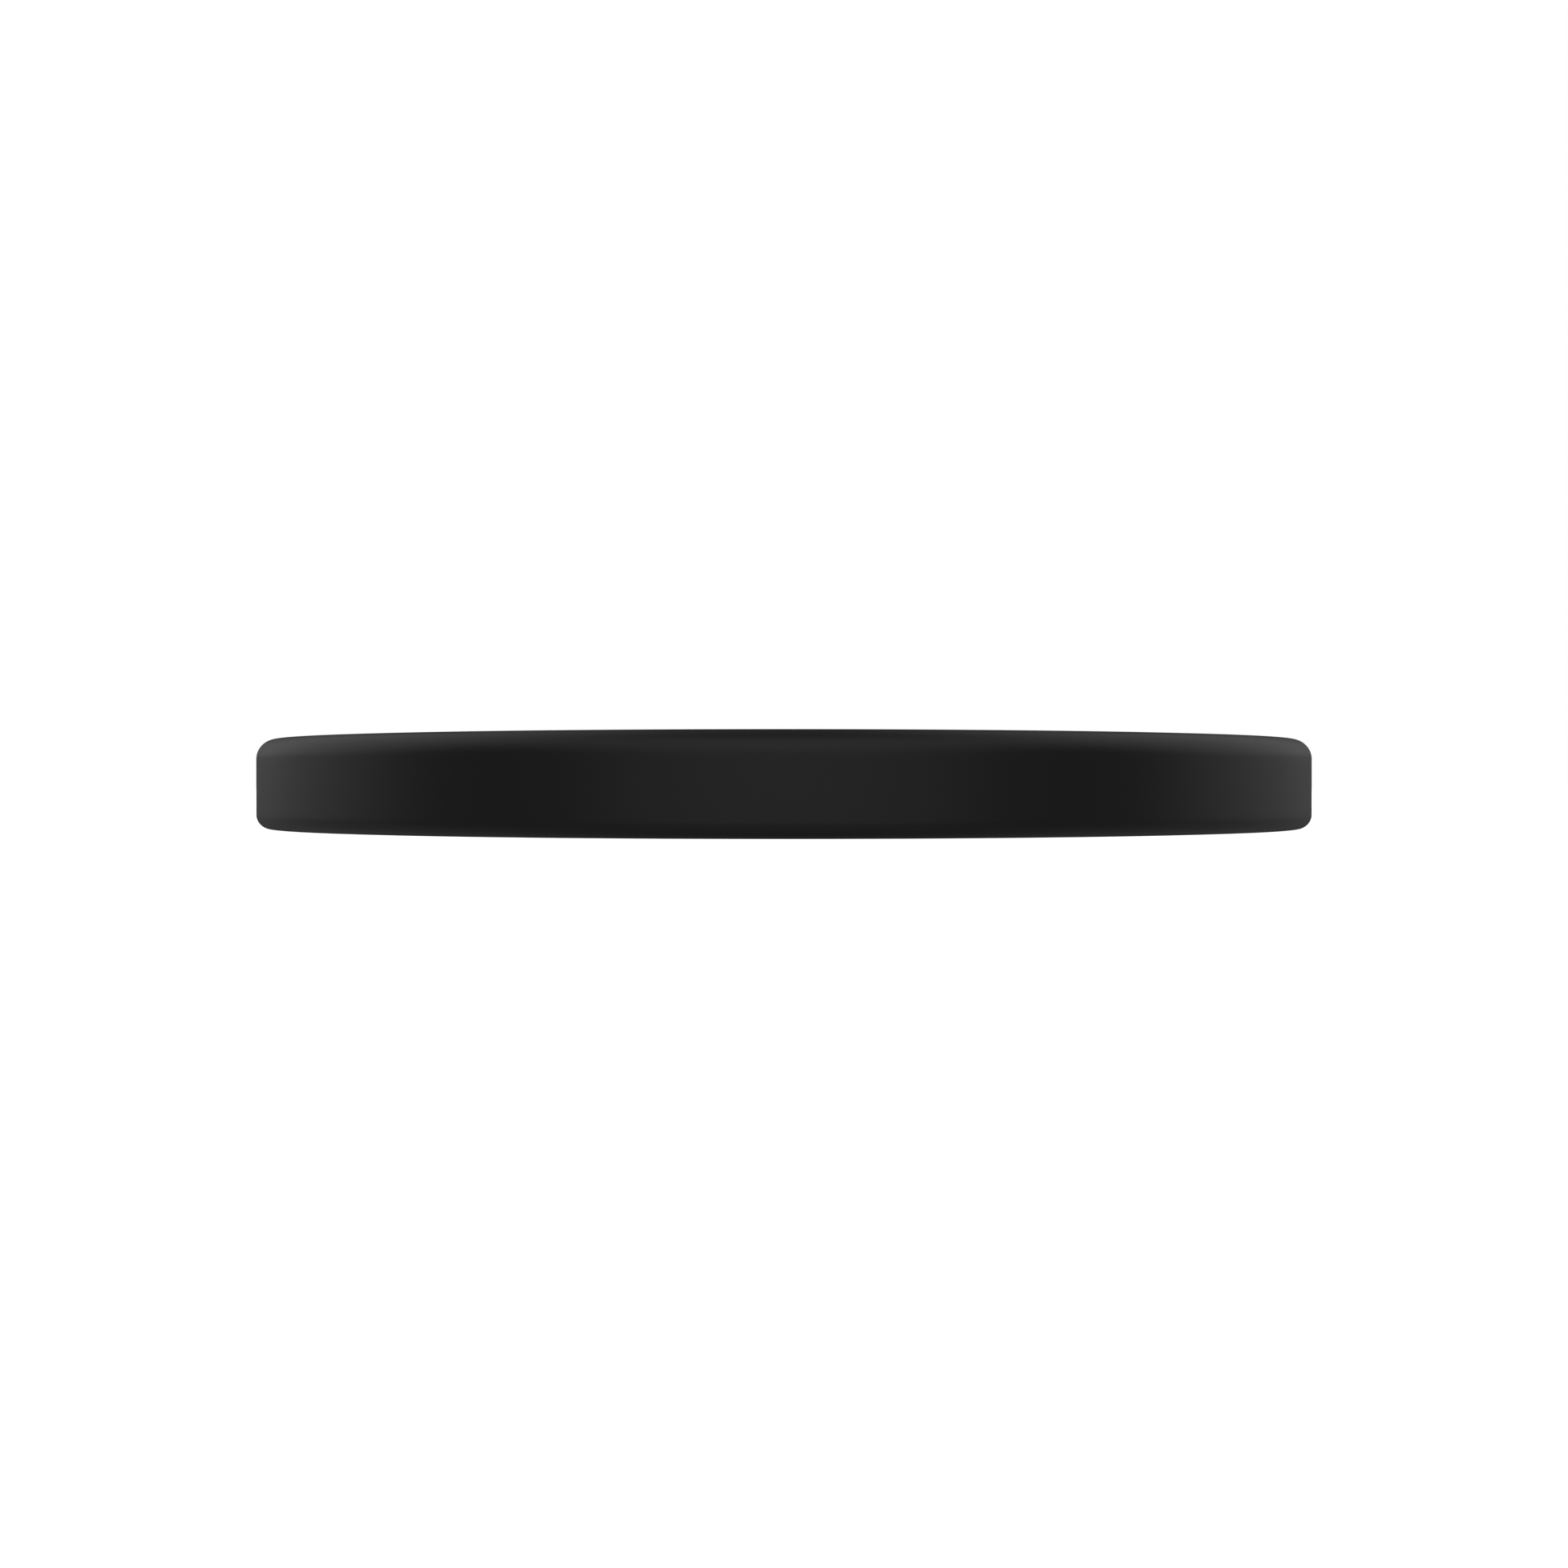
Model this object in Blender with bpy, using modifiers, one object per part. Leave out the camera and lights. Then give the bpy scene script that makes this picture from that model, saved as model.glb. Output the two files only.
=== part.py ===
"""Hockey puck: one thin disc, compression moulded in black rubber.

Frame: metres, +Z up. The origin is the centre of the underside, the face that the puck lies and
slides on, and +Z is the axis of the disc. The puck is a single moulding, so it is a single object:
a flat face above and below, a straight side wall, and a rounded edge where each face meets the wall.
"""

import math

import bpy

# Driving dimensions, in metres
DISC_DIAMETER = 0.0762
DISC_THICKNESS = 0.0063
UPPER_EDGE_RADIUS = 0.0014  # the softer edge, round the upper face
LOWER_EDGE_RADIUS = 0.0010  # the tighter edge, round the face that slides
LEAST_WALL_HEIGHT = 0.0005  # straight wall that is always left between the two edges

# Facets of the turned surface
FACETS_ROUND_AXIS = 144
FACETS_ROUND_EDGE = 9
AXIS_MERGE_DISTANCE = 0.00001

# Finish of the moulded rubber
RUBBER_COLOUR = (0.0095, 0.0095, 0.0095, 1.0)
RUBBER_ROUGHNESS = 0.5


def clear_scene():
    for obj in list(bpy.data.objects):
        bpy.data.objects.remove(obj, do_unlink=True)


def rubber_material():
    material = bpy.data.materials.new("moulded_rubber")
    material.use_nodes = True
    shader = material.node_tree.nodes["Principled BSDF"]
    shader.inputs["Base Color"].default_value = RUBBER_COLOUR
    shader.inputs["Roughness"].default_value = RUBBER_ROUGHNESS
    shader.inputs["Metallic"].default_value = 0.0
    return material


def edge_radii():
    """The upper and lower edge radius. Both shrink in proportion where the disc is too thin for them."""
    room = DISC_THICKNESS - LEAST_WALL_HEIGHT
    share = min(1.0, room / (UPPER_EDGE_RADIUS + LOWER_EDGE_RADIUS))
    return UPPER_EDGE_RADIUS * share, LOWER_EDGE_RADIUS * share


def rounded_edge(centre_radius, centre_height, radius, start_angle):
    """Points of a quarter circle in the XZ plane, turning clockwise from start_angle above +X."""
    points = []
    for step in range(FACETS_ROUND_EDGE + 1):
        angle = start_angle - math.radians(90) * step / FACETS_ROUND_EDGE
        x = centre_radius + radius * math.cos(angle)
        z = centre_height + radius * math.sin(angle)
        points.append((x, 0.0, z))
    return points


def disc_profile():
    """The half section at +X: out along the upper face, down the side wall, and back under the disc."""
    outer_radius = DISC_DIAMETER / 2
    upper, lower = edge_radii()
    upper_edge = rounded_edge(outer_radius - upper, DISC_THICKNESS - upper, upper, math.radians(90))
    lower_edge = rounded_edge(outer_radius - lower, lower, lower, 0.0)
    return [(0.0, 0.0, DISC_THICKNESS), *upper_edge, *lower_edge, (0.0, 0.0, 0.0)]


def turned_solid(name, profile, material, collection):
    """A closed solid of revolution: the profile turned once round Z by a Screw modifier."""
    mesh = bpy.data.meshes.new(name)
    edges = [(index, index + 1) for index in range(len(profile) - 1)]
    mesh.from_pydata(profile, edges, [])
    mesh.materials.append(material)
    obj = bpy.data.objects.new(name, mesh)
    collection.objects.link(obj)
    screw = obj.modifiers.new("turned", "SCREW")
    screw.axis = "Z"
    screw.angle = math.radians(360)
    screw.steps = FACETS_ROUND_AXIS
    screw.render_steps = FACETS_ROUND_AXIS
    screw.use_merge_vertices = True
    screw.merge_threshold = AXIS_MERGE_DISTANCE
    screw.use_smooth_shade = True
    return obj


def main():
    clear_scene()
    collection = bpy.data.collections.new("hockey_puck")
    bpy.context.scene.collection.children.link(collection)
    turned_solid("puck_body", disc_profile(), rubber_material(), collection)


main()
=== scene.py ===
"""Looks of the hockey puck: its moulding, the rubber's finish, a pale floor, soft light and a camera.

Metres, +Z up. The disc's axis is Z and its underside lies at height 0. Every size of the disc is read
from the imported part, so the moulding follows the part when the part changes.
"""

import math

import bpy
import numpy as np
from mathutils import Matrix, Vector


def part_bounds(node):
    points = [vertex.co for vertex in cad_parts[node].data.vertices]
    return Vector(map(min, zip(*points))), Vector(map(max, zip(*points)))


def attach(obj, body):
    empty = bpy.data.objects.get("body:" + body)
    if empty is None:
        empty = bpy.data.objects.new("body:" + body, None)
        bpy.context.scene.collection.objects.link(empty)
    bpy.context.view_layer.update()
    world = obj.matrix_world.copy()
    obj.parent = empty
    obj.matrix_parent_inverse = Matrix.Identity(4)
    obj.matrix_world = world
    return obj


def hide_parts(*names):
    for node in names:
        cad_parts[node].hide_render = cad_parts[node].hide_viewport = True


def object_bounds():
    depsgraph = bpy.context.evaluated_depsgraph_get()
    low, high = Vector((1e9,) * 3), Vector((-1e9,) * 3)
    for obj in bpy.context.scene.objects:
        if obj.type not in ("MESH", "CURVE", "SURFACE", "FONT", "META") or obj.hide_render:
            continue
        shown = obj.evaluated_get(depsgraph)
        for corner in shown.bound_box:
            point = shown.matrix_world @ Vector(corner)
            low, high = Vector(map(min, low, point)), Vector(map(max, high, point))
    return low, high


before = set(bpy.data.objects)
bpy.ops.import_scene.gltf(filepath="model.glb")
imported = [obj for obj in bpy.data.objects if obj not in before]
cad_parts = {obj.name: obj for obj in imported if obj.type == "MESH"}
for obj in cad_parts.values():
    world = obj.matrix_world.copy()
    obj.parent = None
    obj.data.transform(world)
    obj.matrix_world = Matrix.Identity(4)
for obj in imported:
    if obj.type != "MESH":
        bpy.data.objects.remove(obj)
part_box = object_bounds()

MM = 0.001

# The moulding's surface grid
COLUMNS_ROUND_AXIS = 512
ROWS_ON_FACE = 24
ROWS_ON_EDGE = 20
ROWS_ON_WALL = 10
FLAT_TOLERANCE = 0.005 * MM  # points this near a face's height lie on that face
FACE_SINK = 0.04 * MM  # how far the cooling rubber draws each face in at its centre
GRAIN_FADE = 0.25  # share of a rounded edge over which the grain of the face dies out
MAP_NAME = "OFBake"  # name of the UV map that the turned surface carries
MAP_MARGIN = 0.004  # of the map's width, left clear round each island

# Colours, as sRGB hex values
WALL_BLACK = "181818"
HAZY_BLACK = "212121"
# Painted shade: the black that darkens the pits of the grain on the faces
PIT_SHADE_BLACK = "0f0f0f"
SCUFF_GREY = "363636"
FLOOR_WHITE = "f2f2f2"
PURE_WHITE = "ffffff"

# Finish of the rubber. Lengths are in mm.
RUBBER_IOR = 1.52
GRAIN_PITCH = 0.46  # a spark-eroded face has pits of about 0.15, drawn this coarse so that they show
GRAIN_DEPTH = 0.15 * MM
FINE_GRAIN_PITCH = 0.16
FINE_GRAIN_SHARE = 0.01  # of the depth of the grain on the faces
BLOOM_PATCH = 11.0  # hazy patches where wax has come to the surface
SCUFF_LENGTH = 14.0
SCUFF_SPACING = 0.5
SCUFF_BOW = 8.0
SCUFF_TURNS = (9.0, 52.0, 83.0, 121.0, 164.0)  # degrees
WALL_ROUGHNESS = 0.48
FACE_DULLING = 0.02
HAZE_DULLING = 0.05
EDGE_DULLING = 0.02

# Values of the noise at which a mark starts to show and at which it is full
HAZE_RANGE = (0.38, 0.62)
SCUFF_RANGE = (0.72, 0.8)
# Grain values over which the painted shade in the pits fades in
PIT_SHADE_RANGE = (0.58, 0.42)
GRAIN_MIDDLE = 0.5  # the grain's noise lies evenly round this value

# Sockets of a Mix node that hold its two colours and its result
FIRST_COLOUR = 6
SECOND_COLOUR = 7
MIXED_COLOUR = 2

# Camera and light
CAMERA_DISTANCE = 160.3 * MM  # from the disc's axis
FIELD_OF_VIEW = math.radians(39.95)
SENSOR_WIDTH = 36.0  # mm
LIGHT_DISTANCE = 1.0
FLOOR_RADIUS = 30.0
FLOOR_SEGMENTS = 96
FLOOR_ROUGHNESS = 0.9
FLOOR_GLOW = 1.0  # radiance of the lit acrylic
ROOM_ABOVE = 0.01  # radiance of the room itself, between the softboxes
ROOM_BELOW = 0.11


def linear(hex_colour):
    """The colour of an sRGB hex value as linear red, green, blue and alpha."""
    channels = np.array([int(hex_colour[i : i + 2], 16) for i in (0, 2, 4)]) / 255
    curved = ((channels + 0.055) / 1.055) ** 2.4
    red, green, blue = np.where(channels <= 0.04045, channels / 12.92, curved).tolist()
    return red, green, blue, 1.0


def add_node(tree, kind, settings=None, inputs=None):
    """Adds a node to a tree. Each input gets a value, or a link where it is given another node's output."""
    made = tree.nodes.new(kind)
    for name, value in (settings or {}).items():
        setattr(made, name, value)
    for name, value in (inputs or {}).items():
        if isinstance(value, bpy.types.NodeSocket):
            tree.links.new(value, made.inputs[name])
        else:
            made.inputs[name].default_value = value
    return made


# ---------------------------------------------------------------- the moulding


def part_measures(node):
    """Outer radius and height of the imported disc, and radius of the flat circle on its top and bottom."""
    low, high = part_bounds(node)
    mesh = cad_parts[node].data
    points = np.empty(len(mesh.vertices) * 3, np.float32)
    mesh.vertices.foreach_get("co", points)
    points = points.reshape(-1, 3)
    distance = np.hypot(points[:, 0], points[:, 1])
    upper_flat = distance[points[:, 2] > high.z - FLAT_TOLERANCE].max()
    lower_flat = distance[points[:, 2] < low.z + FLAT_TOLERANCE].max()
    return high.x, high.z, float(upper_flat), float(lower_flat)


def face_rows(flat_radius, height, into):
    """Rows of one face from the centre out: height + into * sink * cos^2(90 deg * r / flat radius).

    The dish is deepest at the centre and level with the flat where the edge starts.
    """
    share = np.linspace(0.0, 1.0, ROWS_ON_FACE + 1)
    sunk = height + into * FACE_SINK * np.cos(math.radians(90) * share) ** 2
    return np.column_stack([share * flat_radius, sunk])


def edge_rows(centre, radius, start_angle):
    """Rows of one rounded edge: centre + radius * (cos a, sin a), as a falls 90 deg from start_angle."""
    angle = start_angle - np.linspace(0.0, math.radians(90), ROWS_ON_EDGE + 1)
    return np.column_stack([centre[0] + radius * np.cos(angle), centre[1] + radius * np.sin(angle)])


def disc_section(outer_radius, height, upper_flat, lower_flat):
    """Half section of the disc as rows of (distance from the axis, height), from top centre to bottom.

    Returned with it: how much of each row is face (1 on the flats, falling to 0 across the first
    GRAIN_FADE of each rounded edge) and how much is edge (sin(180 deg * share of the way round a
    rounded edge), and 0 on the flats and on the wall).
    """
    upper = outer_radius - upper_flat
    lower = outer_radius - lower_flat
    top = face_rows(upper_flat, height, -1)
    upper_edge = edge_rows((upper_flat, height - upper), upper, math.radians(90))
    wall_height = np.linspace(height - upper, lower, ROWS_ON_WALL + 1)
    wall = np.column_stack([np.full_like(wall_height, outer_radius), wall_height])
    lower_edge = edge_rows((lower_flat, lower), lower, 0.0)
    bottom = face_rows(lower_flat, 0.0, 1)[::-1]
    round_edge = np.linspace(0.0, 1.0, ROWS_ON_EDGE + 1)
    flat = np.ones(ROWS_ON_FACE + 1)
    none = np.zeros(ROWS_ON_WALL - 1)
    fade = np.clip(1 - round_edge / GRAIN_FADE, 0, 1)
    hump = np.sin(math.radians(180) * round_edge)
    rows = np.vstack([top, upper_edge[1:], wall[1:-1], lower_edge, bottom[1:]])
    face_share = np.concatenate([flat, fade[1:], none, fade[::-1], flat[1:]])
    edge_share = np.concatenate([flat * 0, hump[1:], none, hump, flat[1:] * 0])
    return rows, face_share, edge_share


def unrolled_corners(rows, angle):
    """Map places of the corners of all faces of the turned surface, in the order in which it makes them.

    The map has two round islands, each of them a face of the disc with its rounded edge and half of the
    wall unrolled round it: a point lies at its own angle, at its distance along the surface from the
    middle of the face. The lower island is mirrored, because its face is seen from below.
    """
    steps = np.diff(rows, axis=0)
    along = np.concatenate([[0.0], np.cumsum(np.hypot(steps[:, 0], steps[:, 1]))])
    from_below = along[-1] - along
    seam = len(rows) // 2
    island_radius = 1 / (2 + math.sqrt(2))  # of two circles that fill a square from corner to corner
    scale = (island_radius - MAP_MARGIN) / max(along[seam], from_below[seam])
    turn = np.append(angle, 2 * math.pi)
    ray = np.stack([np.cos(turn), np.sin(turn)], axis=-1)
    mirrored_ray = ray * (-1, 1)
    upper = island_radius + scale * along[:, None, None] * ray
    lower = 1 - island_radius + scale * from_below[:, None, None] * mirrored_ray

    def quads(places):
        corners = [places[:-1, :-1], places[1:, :-1], places[1:, 1:], places[:-1, 1:]]
        return np.stack(corners, axis=2).reshape(-1, 2)

    upper_fan = np.stack([upper[0, :-1], upper[1, :-1], upper[1, 1:]], axis=1).reshape(-1, 2)
    lower_fan = np.stack([lower[-1, :-1], lower[-2, 1:], lower[-2, :-1]], axis=1).reshape(-1, 2)
    return np.vstack([quads(upper[1 : seam + 1]), quads(lower[seam:-1]), upper_fan, lower_fan])


def turned_mesh(name, rows, row_values):
    """A closed surface of revolution: point (r, z) of row i at angle t of column j is (r cos t, r sin t, z).

    The first and last rows lie on the axis, so each is a single point that closes the surface with a
    fan of triangles. The UV map is the one of unrolled_corners, and row_values are written to the
    points as attributes.
    """
    angle = np.linspace(0.0, 2 * math.pi, COLUMNS_ROUND_AXIS, endpoint=False)
    inner = rows[1:-1]
    grid = np.empty((len(inner), COLUMNS_ROUND_AXIS, 3))
    grid[:, :, 0] = inner[:, :1] * np.cos(angle)
    grid[:, :, 1] = inner[:, :1] * np.sin(angle)
    grid[:, :, 2] = inner[:, 1:]
    poles = np.array([[0.0, 0.0, rows[0, 1]], [0.0, 0.0, rows[-1, 1]]])
    points = np.vstack([grid.reshape(-1, 3), poles])
    index = np.arange(len(inner) * COLUMNS_ROUND_AXIS).reshape(len(inner), COLUMNS_ROUND_AXIS)
    beside = np.roll(index, -1, axis=1)
    quads = np.stack([index[:-1], index[1:], beside[1:], beside[:-1]], axis=-1).reshape(-1, 4)
    top, bottom = len(points) - 2, len(points) - 1
    upper_fan = np.column_stack([np.full(COLUMNS_ROUND_AXIS, top), index[0], beside[0]])
    lower_fan = np.column_stack([np.full(COLUMNS_ROUND_AXIS, bottom), beside[-1], index[-1]])
    mesh = bpy.data.meshes.new(name)
    mesh.from_pydata(points, [], [*quads.tolist(), *upper_fan.tolist(), *lower_fan.tolist()])
    uv_map = mesh.uv_layers.new(name=MAP_NAME)
    uv_map.uv.foreach_set("vector", unrolled_corners(rows, angle).astype(np.float32).ravel())
    for attribute_name, values in row_values.items():
        spread = np.repeat(values[1:-1], COLUMNS_ROUND_AXIS)
        spread = np.concatenate([spread, [values[0], values[-1]]]).astype(np.float32)
        attribute = mesh.attributes.new(attribute_name, "FLOAT", "POINT")
        attribute.data.foreach_set("value", spread)
    mesh.shade_smooth()
    mesh.validate()
    return mesh


def make_puck():
    """The finished moulding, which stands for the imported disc."""
    rows, face_share, edge_share = disc_section(*part_measures("puck_body"))
    values = {"face_share": face_share, "edge_share": edge_share}
    puck = bpy.data.objects.new("rubber_disc", turned_mesh("rubber_disc", rows, values))
    puck.data.materials.append(moulded_black_rubber())
    bpy.context.scene.collection.objects.link(puck)
    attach(puck, "root")
    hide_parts("puck_body")


# ---------------------------------------------------------------- the rubber


def face_haze(tree, in_mm, on_face):
    """Broad soft patches on the faces where wax has come to the surface, from 0, clear, to 1, hazy."""
    bloom = add_node(
        tree,
        "ShaderNodeTexNoise",
        inputs={"Vector": in_mm, "Scale": 1 / BLOOM_PATCH, "Detail": 3.0, "Roughness": 0.55},
    )
    patches = add_node(
        tree,
        "ShaderNodeMapRange",
        {"interpolation_type": "SMOOTHSTEP"},
        {"Value": bloom.outputs["Fac"], "From Min": HAZE_RANGE[0], "From Max": HAZE_RANGE[1]},
    )
    haze = add_node(
        tree,
        "ShaderNodeMath",
        {"operation": "MULTIPLY"},
        {0: patches.outputs["Result"], 1: on_face},
    )
    return haze.outputs["Value"]


def face_scuffs(tree, in_mm, on_face):
    """Slightly bowed hairlines on the faces in several directions, as noise stretched along each."""
    bow = add_node(
        tree,
        "ShaderNodeTexNoise",
        inputs={"Vector": in_mm, "Scale": 1 / SCUFF_LENGTH, "Detail": 0.0},
    )
    bowed = add_node(
        tree,
        "ShaderNodeVectorMath",
        {"operation": "MULTIPLY_ADD"},
        {0: bow.outputs["Color"], 1: (SCUFF_BOW, SCUFF_BOW, 0.0), 2: in_mm},
    )
    strongest = 0.0
    for turn in SCUFF_TURNS:
        stretched = add_node(
            tree,
            "ShaderNodeMapping",
            {"vector_type": "TEXTURE"},
            {
                "Vector": bowed.outputs["Vector"],
                "Rotation": (0.0, 0.0, math.radians(turn)),
                "Scale": (SCUFF_LENGTH, SCUFF_SPACING, 1.0),
            },
        )
        streak = add_node(
            tree,
            "ShaderNodeTexNoise",
            inputs={"Vector": stretched.outputs["Vector"], "Scale": 1.0, "Detail": 2.0},
        )
        hairline = add_node(
            tree,
            "ShaderNodeMapRange",
            {"interpolation_type": "SMOOTHSTEP"},
            {"Value": streak.outputs["Fac"], "From Min": SCUFF_RANGE[0], "From Max": SCUFF_RANGE[1]},
        )
        stronger = add_node(
            tree,
            "ShaderNodeMath",
            {"operation": "MAXIMUM"},
            {0: strongest, 1: hairline.outputs["Result"]},
        )
        strongest = stronger.outputs["Value"]
    scuffs = add_node(tree, "ShaderNodeMath", {"operation": "MULTIPLY"}, {0: strongest, 1: on_face})
    return scuffs.outputs["Value"]


def rubber_colour(tree, haze, scuffs, grain, on_face):
    """Two close blacks by haze, painted shade darkening the pits of the grain, and a little lighter on the
    scuffs.
    """
    black = add_node(
        tree,
        "ShaderNodeMix",
        {"data_type": "RGBA"},
        {"Factor": haze, FIRST_COLOUR: linear(WALL_BLACK), SECOND_COLOUR: linear(HAZY_BLACK)},
    )
    # Painted shade: the colour is darkened where the grain is low, in its pits
    pit_shade_ramp = add_node(
        tree,
        "ShaderNodeMapRange",
        {"interpolation_type": "SMOOTHSTEP"},
        {"Value": grain, "From Min": PIT_SHADE_RANGE[0], "From Max": PIT_SHADE_RANGE[1]},
    )
    pits = add_node(
        tree,
        "ShaderNodeMath",
        {"operation": "MULTIPLY"},
        {0: pit_shade_ramp.outputs["Result"], 1: on_face},
    )
    pit_shaded = add_node(
        tree,
        "ShaderNodeMix",
        {"data_type": "RGBA"},
        {
            "Factor": pits.outputs["Value"],
            FIRST_COLOUR: black.outputs[MIXED_COLOUR],
            SECOND_COLOUR: linear(PIT_SHADE_BLACK),
        },
    )
    colour = add_node(
        tree,
        "ShaderNodeMix",
        {"data_type": "RGBA"},
        {
            "Factor": scuffs,
            FIRST_COLOUR: pit_shaded.outputs[MIXED_COLOUR],
            SECOND_COLOUR: linear(SCUFF_GREY),
        },
    )
    return colour.outputs[MIXED_COLOUR]


def rubber_roughness(tree, haze, on_face, on_edge):
    """A satin wall, slightly duller faces with duller patches of haze, and slightly duller edges."""
    on_faces = add_node(
        tree,
        "ShaderNodeMath",
        {"operation": "MULTIPLY_ADD"},
        {0: on_face, 1: FACE_DULLING, 2: WALL_ROUGHNESS},
    )
    hazed = add_node(
        tree,
        "ShaderNodeMath",
        {"operation": "MULTIPLY_ADD"},
        {0: haze, 1: HAZE_DULLING, 2: on_faces.outputs["Value"]},
    )
    rubbed = add_node(
        tree,
        "ShaderNodeMath",
        {"operation": "MULTIPLY_ADD"},
        {0: on_edge, 1: EDGE_DULLING, 2: hazed.outputs["Value"]},
    )
    return rubbed.outputs["Value"]


def rubber_relief(tree, in_mm, grain, on_face):
    """The grain on the faces, and a far finer one that all of the mould leaves, as a bumped normal."""
    up_and_down = add_node(tree, "ShaderNodeMath", {"operation": "SUBTRACT"}, {0: grain, 1: GRAIN_MIDDLE})
    grain_on_faces = add_node(
        tree,
        "ShaderNodeMath",
        {"operation": "MULTIPLY"},
        {0: up_and_down.outputs["Value"], 1: on_face},
    )
    fine = add_node(
        tree,
        "ShaderNodeTexNoise",
        inputs={"Vector": in_mm, "Scale": 1 / FINE_GRAIN_PITCH, "Detail": 1.0},
    )
    relief = add_node(
        tree,
        "ShaderNodeMath",
        {"operation": "MULTIPLY_ADD"},
        {0: fine.outputs["Fac"], 1: FINE_GRAIN_SHARE, 2: grain_on_faces.outputs["Value"]},
    )
    bump = add_node(
        tree,
        "ShaderNodeBump",
        inputs={"Height": relief.outputs["Value"], "Strength": 1.0, "Distance": GRAIN_DEPTH},
    )
    return bump.outputs["Normal"]


def moulded_black_rubber():
    """Carbon-black rubber, pressed and cured in a steel mould with a polished wall and spark-eroded faces.

    The eye sees a deep neutral black with a satin sheen. The wall is smooth, the two faces carry a fine
    matt grain, the rounded edges are rubbed a little duller, and the faces have a faint haze and a few
    hairline scuffs.
    """
    material = bpy.data.materials.new("moulded_black_rubber")
    material.use_nodes = True
    tree = material.node_tree
    place = add_node(tree, "ShaderNodeTexCoord")
    millimetres = add_node(
        tree,
        "ShaderNodeMapping",
        inputs={"Vector": place.outputs["Object"], "Scale": (1 / MM, 1 / MM, 1 / MM)},
    )
    in_mm = millimetres.outputs["Vector"]
    on_face = add_node(tree, "ShaderNodeAttribute", {"attribute_name": "face_share"}).outputs["Fac"]
    on_edge = add_node(tree, "ShaderNodeAttribute", {"attribute_name": "edge_share"}).outputs["Fac"]

    # Shallow rounded pits that the spark-eroded mould leaves, which also carry painted shade in the colour
    pits = add_node(
        tree,
        "ShaderNodeTexNoise",
        inputs={"Vector": in_mm, "Scale": 1 / GRAIN_PITCH, "Detail": 2.0, "Roughness": 0.6},
    )
    grain = pits.outputs["Fac"]
    haze = face_haze(tree, in_mm, on_face)
    scuffs = face_scuffs(tree, in_mm, on_face)

    shader = tree.nodes["Principled BSDF"]
    shader.inputs["IOR"].default_value = RUBBER_IOR
    tree.links.new(rubber_colour(tree, haze, scuffs, grain, on_face), shader.inputs["Base Color"])
    tree.links.new(rubber_roughness(tree, haze, on_face, on_edge), shader.inputs["Roughness"])
    tree.links.new(rubber_relief(tree, in_mm, grain, on_face), shader.inputs["Normal"])
    return material


# ---------------------------------------------------------------- the studio


def pale_acrylic():
    """Pale acrylic sheet with a matt sanded face, lit from below, which gives the eye an even white."""
    material = bpy.data.materials.new("pale_sanded_acrylic")
    material.use_nodes = True
    shader = material.node_tree.nodes["Principled BSDF"]
    shader.inputs["Base Color"].default_value = linear(FLOOR_WHITE)
    shader.inputs["Roughness"].default_value = FLOOR_ROUGHNESS
    shader.inputs["Specular IOR Level"].default_value = 0.0
    shader.inputs["Emission Color"].default_value = linear(PURE_WHITE)
    shader.inputs["Emission Strength"].default_value = FLOOR_GLOW
    return material


def make_floor():
    """A plain round floor at height 0, which the disc lies on."""
    angle = np.linspace(0.0, 2 * math.pi, FLOOR_SEGMENTS, endpoint=False)
    rim = np.column_stack([np.cos(angle), np.sin(angle), np.zeros(FLOOR_SEGMENTS)]) * FLOOR_RADIUS
    mesh = bpy.data.meshes.new("pale_floor")
    mesh.from_pydata(rim, [], [list(range(FLOOR_SEGMENTS))])
    mesh.materials.append(pale_acrylic())
    floor = bpy.data.objects.new("pale_floor", mesh)
    # The weak lights below stand for all that the floor gives the disc, which it doesn't light itself
    floor.visible_shadow = False
    floor.visible_diffuse = False
    floor.visible_glossy = False
    bpy.context.scene.collection.objects.link(floor)


def aim(obj, azimuth, elevation, distance, target):
    """Puts a light or camera at that distance from target, in degrees round from -Y and up, facing it."""
    turn = math.radians(azimuth)
    lift = math.radians(elevation)
    obj.location = (
        target[0] + distance * math.sin(turn) * math.cos(lift),
        target[1] - distance * math.cos(turn) * math.cos(lift),
        target[2] + distance * math.sin(lift),
    )
    obj.rotation_euler = (math.radians(90) - lift, 0.0, turn)


# Name, degrees round from the camera, degrees up, degrees that it fills to each side and up or down,
# and radiance
SOFTBOXES = (
    ("front", 0.0, 38.0, 37.0, 38.5, 0.604),
    ("left_rear", -118.5, 33.5, 32.5, 32.0, 0.651),
    ("right_rear", 118.5, 33.5, 32.5, 32.0, 0.651),
)
THROWN_BACK = 0.208  # share of each softbox that a pale floor would mirror from below


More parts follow.
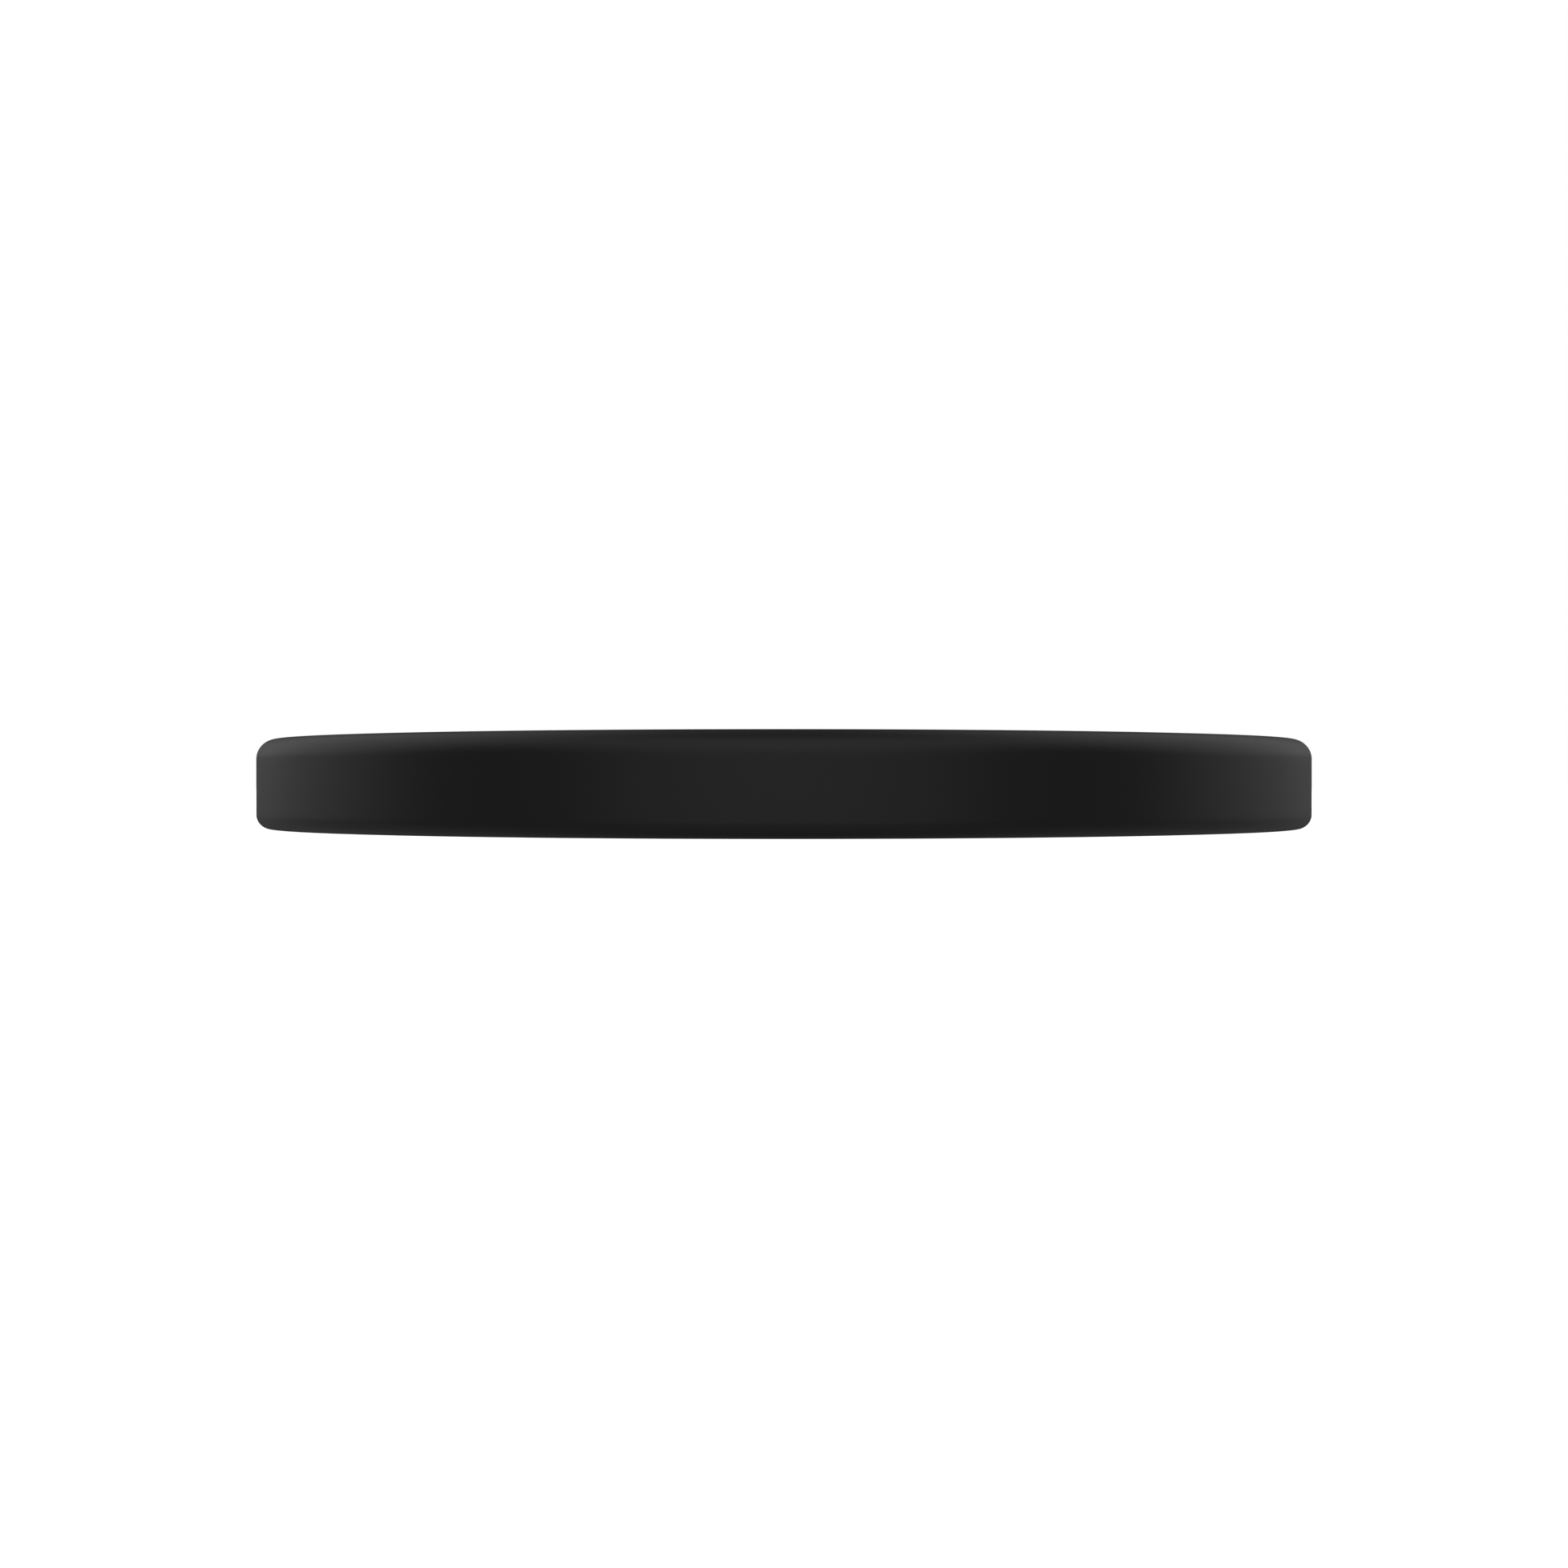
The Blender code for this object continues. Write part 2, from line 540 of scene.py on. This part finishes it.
def make_softboxes(target):
    """Area lights round the disc, each with a weaker twin below the floor.

    Width is twice the distance times the tangent of the half angle, and power is radiance * area * pi.
    """
    for name, azimuth, elevation, half_width, half_height, radiance in SOFTBOXES:
        width = 2 * LIGHT_DISTANCE * math.tan(math.radians(half_width))
        height = 2 * LIGHT_DISTANCE * math.tan(math.radians(half_height))
        for place, lift, share in (("above", elevation, 1.0), ("below", -elevation, THROWN_BACK)):
            light = bpy.data.lights.new(f"{name}_{place}", "AREA")
            light.shape = "RECTANGLE"
            light.size = width
            light.size_y = height
            light.energy = share * radiance * width * height * math.pi
            lamp = bpy.data.objects.new(light.name, light)
            lamp.visible_camera = False
            aim(lamp, azimuth, lift, LIGHT_DISTANCE, target)
            bpy.context.scene.collection.objects.link(lamp)


def make_room():
    """White to the camera. To the disc it is dim, and dimmer above the horizon than below it."""
    world = bpy.data.worlds.new("studio")
    world.use_nodes = True
    tree = world.node_tree
    way = add_node(tree, "ShaderNodeTexCoord")
    parts = add_node(tree, "ShaderNodeSeparateXYZ", inputs={"Vector": way.outputs["Generated"]})
    below = add_node(tree, "ShaderNodeMath", {"operation": "LESS_THAN"}, {0: parts.outputs["Z"], 1: 0.0})
    dim = add_node(
        tree,
        "ShaderNodeMapRange",
        inputs={"Value": below.outputs["Value"], "To Min": ROOM_ABOVE, "To Max": ROOM_BELOW},
    )
    sight = add_node(tree, "ShaderNodeLightPath")
    level = add_node(
        tree,
        "ShaderNodeMapRange",
        inputs={"Value": sight.outputs["Is Camera Ray"], "To Min": dim.outputs["Result"], "To Max": 1.0},
    )
    background = tree.nodes["Background"]
    background.inputs["Color"].default_value = linear(PURE_WHITE)
    tree.links.new(level.outputs["Result"], background.inputs["Strength"])
    bpy.context.scene.world = world
    bpy.context.scene.view_settings.view_transform = "Standard"


def make_camera(target):
    """Level with the middle of the disc's thickness, as the side of the disc is seen."""
    camera = bpy.data.cameras.new("camera")
    camera.sensor_width = SENSOR_WIDTH
    camera.lens = SENSOR_WIDTH / 2 / math.tan(FIELD_OF_VIEW / 2)
    camera.clip_start = 1 * MM
    camera.clip_end = 2 * FLOOR_RADIUS
    viewer = bpy.data.objects.new("camera", camera)
    aim(viewer, 0.0, 0.0, CAMERA_DISTANCE, target)
    bpy.context.scene.collection.objects.link(viewer)
    bpy.context.scene.camera = viewer


middle = (part_box[0] + part_box[1]) / 2
make_camera(middle)
make_puck()
make_floor()
make_softboxes(middle)
make_room()
